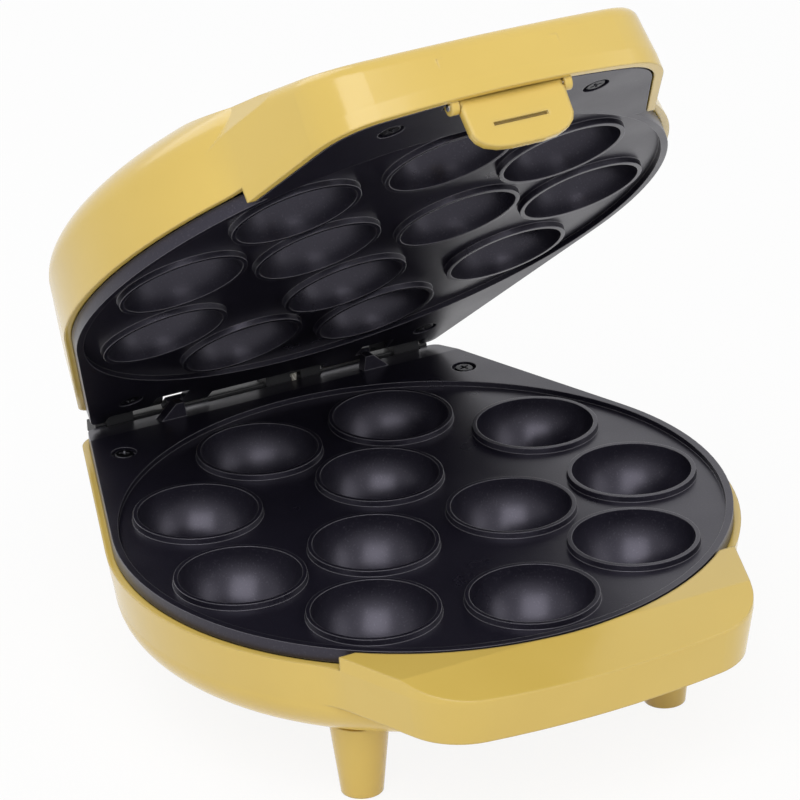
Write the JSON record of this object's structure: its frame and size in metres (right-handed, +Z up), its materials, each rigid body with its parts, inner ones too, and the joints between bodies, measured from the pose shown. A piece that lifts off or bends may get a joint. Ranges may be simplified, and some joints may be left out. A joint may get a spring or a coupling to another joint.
{
  "type": "cake maker",
  "caption": "Round clamshell countertop cooker: hinged lid, two coated plates with facing round cups, front nose with a swinging latch.",
  "frame": {"origin": "on the surface the feet stand on, below the middle of the box round the open maker", "axes": "+X to the user's right, +Y back to the hinge, +Z up"},
  "size_m": [0.213, 0.2618, 0.2463],
  "materials": {
    "shell": "moulded, satin",
    "nonstick": "cast, dark non-stick coat",
    "element_sheath": "tubular sheath",
    "pressed_steel": "pressed strip",
    "screw_steel": "zinc plated",
    "shield_sheet": "pressed sheet",
    "dark_screw": "blackened",
    "thermostat_case": "ceramic and phenolic",
    "fuse_case": "plated case",
    "block_plastic": "moulded",
    "lead_sleeve": "woven sleeve",
    "dark_plastic": "moulded",
    "pad_rubber": "moulded",
    "pin_steel": "turned",
    "washer_plastic": "punched",
    "red_lens": "moulded clear red",
    "green_lens": "moulded clear green"
  },
  "bodies": {
    "base": {"base_housing": "shell", "base_hinge_ears": "dark_plastic", "base_conduit_ear": "dark_plastic", "lower_plate": "nonstick", "lower_heating_element": "element_sheath", "lower_element_clamps": "pressed_steel", "lower_clamp_screws": "screw_steel", "lower_heat_shield": "shield_sheet", "shield_screws_lower": "screw_steel", "lower_plate_screws": "dark_screw", "thermostat": "thermostat_case", "thermostat_screw": "screw_steel", "thermal_fuse": "fuse_case", "terminal_block": "block_plastic", "base_leads": "lead_sleeve", "base_hinge_lead": "lead_sleeve", "cord_gland": "dark_plastic", "foot_pads": "pad_rubber", "hinge_pins": "pin_steel", "hinge_washers": "washer_plastic"},
    "lid": {"lid_housing": "shell", "lid_hinge_ears": "dark_plastic", "lid_conduit_ear": "dark_plastic", "upper_plate": "nonstick", "upper_heating_element": "element_sheath", "upper_element_clamps": "pressed_steel", "upper_clamp_screws": "screw_steel", "upper_heat_shield": "shield_sheet", "shield_screws_upper": "screw_steel", "upper_plate_screws": "dark_screw", "power_lamp_lens": "red_lens", "ready_lamp_lens": "green_lens", "lamp_holders": "dark_plastic", "lid_terminal_block": "block_plastic", "lid_leads": "lead_sleeve", "lid_hinge_lead": "lead_sleeve", "latch_pin": "pin_steel"},
    "latch": {"latch": "shell"}
  },
  "joints": [
    {"name": "lid_hinge", "type": "hinge", "parent": "base", "child": "lid", "pos_m": [0, 0.11544, 0.0683], "axis": [-1, 0, 0], "range_deg": [-42, 58]},
    {"name": "latch_pivot", "type": "hinge", "parent": "lid", "child": "latch", "pos_m": [0, -0.07344, 0.22976], "axis": [-1, 0, 0], "range_deg": [0, 35]}
  ]
}
